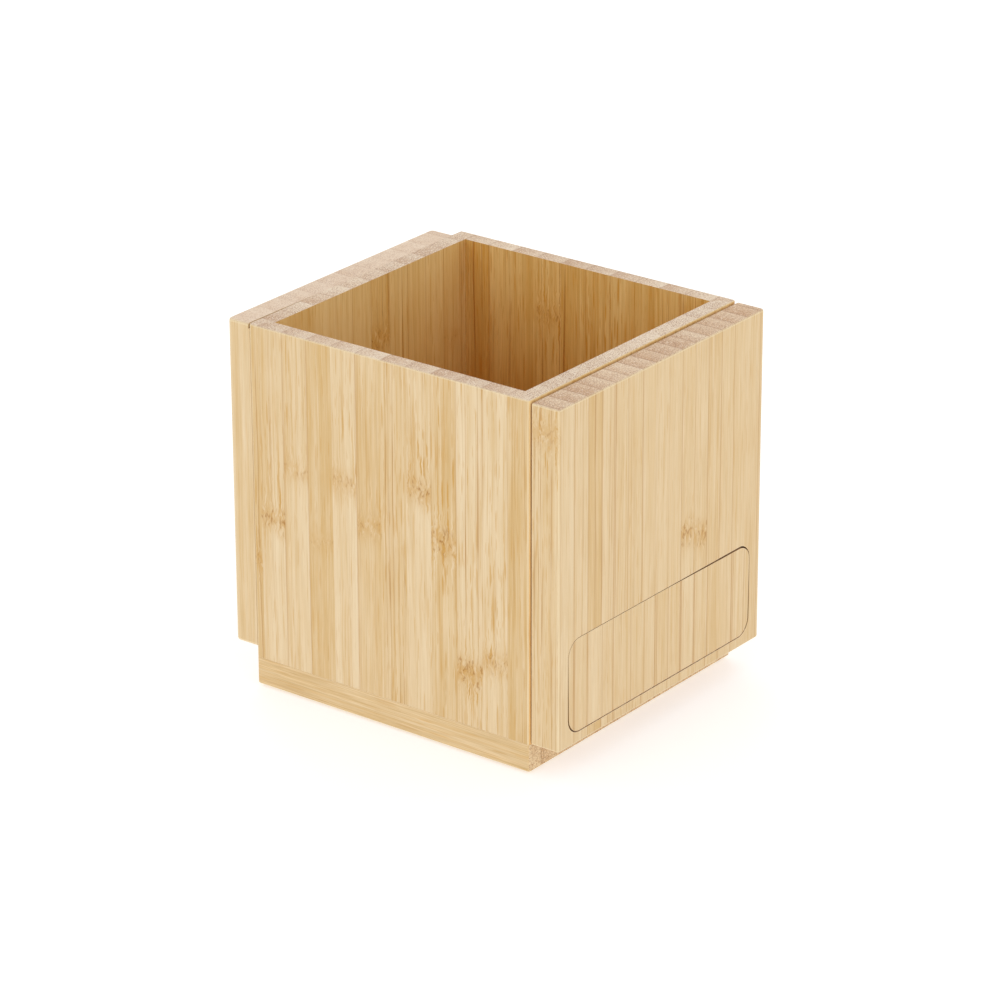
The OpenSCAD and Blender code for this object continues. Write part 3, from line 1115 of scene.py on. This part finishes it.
bm = joined(
    [turned_rod(FOOT_R, (x, y, foot_lo[2]), foot_hi[2] - foot_lo[2], "Z", 0.22) for x, y in feet]
)
finish_piece("pads_silicone", bm, "holder", ["foot_pads"], m_pad)

# ------------------------------------------------------------ floor and light
floor_mesh = bpy.data.meshes.new("floor")
bm = bmesh.new()
bmesh.ops.create_circle(bm, cap_ends=True, radius=6.0, segments=96)
bm.to_mesh(floor_mesh)
bm.free()
floor = bpy.data.objects.new("floor", floor_mesh)
bpy.context.scene.collection.objects.link(floor)
fs = Shader("floor_pale")
fs.bsdf.inputs["Base Color"].default_value = (0.72, 0.72, 0.72, 1.0)
fs.bsdf.inputs["Emission Color"].default_value = (1.0, 1.0, 1.0, 1.0)
fs.bsdf.inputs["Emission Strength"].default_value = 0.47
fs.bsdf.inputs["Roughness"].default_value = 0.9
fs.bsdf.inputs["Specular IOR Level"].default_value = 0.1
floor.data.materials.append(fs.mat)

world = bpy.data.worlds.new("studio")
bpy.context.scene.world = world
world.use_nodes = True
bg = world.node_tree.nodes["Background"]
bg.inputs["Color"].default_value = (1.0, 1.0, 1.0, 1.0)
bg.inputs["Strength"].default_value = 0.77


def softbox(name, at, size, power, colour=(1.0, 1.0, 1.0), aim=(0.0, 0.0, 0.055)):
    data = bpy.data.lights.new(name, "AREA")
    data.shape = "RECTANGLE"
    data.size, data.size_y = size
    data.energy = power
    data.color = colour
    ob = bpy.data.objects.new(name, data)
    ob.location = at
    ob.rotation_euler = (Vector(aim) - Vector(at)).to_track_quat("-Z", "Y").to_euler()
    bpy.context.scene.collection.objects.link(ob)
    return ob


softbox("front_low", (-0.35, -2.2, 1.0), (1.6, 1.2), 7.0)
softbox("right_low", (2.2, -0.1, 1.0), (1.2, 1.6), 6.4)
softbox("back_low", (-1.6, 1.6, 1.1), (1.4, 1.2), 10.0)

# -------------------------------------------------------------------- camera
cam_data = bpy.data.cameras.new("camera")
cam_data.sensor_fit = "HORIZONTAL"
cam_data.sensor_width = 36.0
cam_data.lens = 4545.2 / 1000 * 36.0
cam_data.clip_start = 0.05
cam_data.clip_end = 50.0
cam = bpy.data.objects.new("camera", cam_data)
right = Vector((0.79596, 0.605342, -0.002889))
down = Vector((0.232487, -0.310094, -0.921841))
ahead = Vector((-0.558925, 0.733077, -0.387557))
rot = Matrix((right, -down, -ahead)).transposed().to_4x4()
rot.translation = Vector((0.697462, -0.913524, 0.535062))
cam.matrix_world = rot
bpy.context.scene.collection.objects.link(cam)
bpy.context.scene.camera = cam

vs = bpy.context.scene.view_settings
vs.view_transform = "Standard"
vs.look = "None"
vs.exposure = 0.0
vs.gamma = 1.0
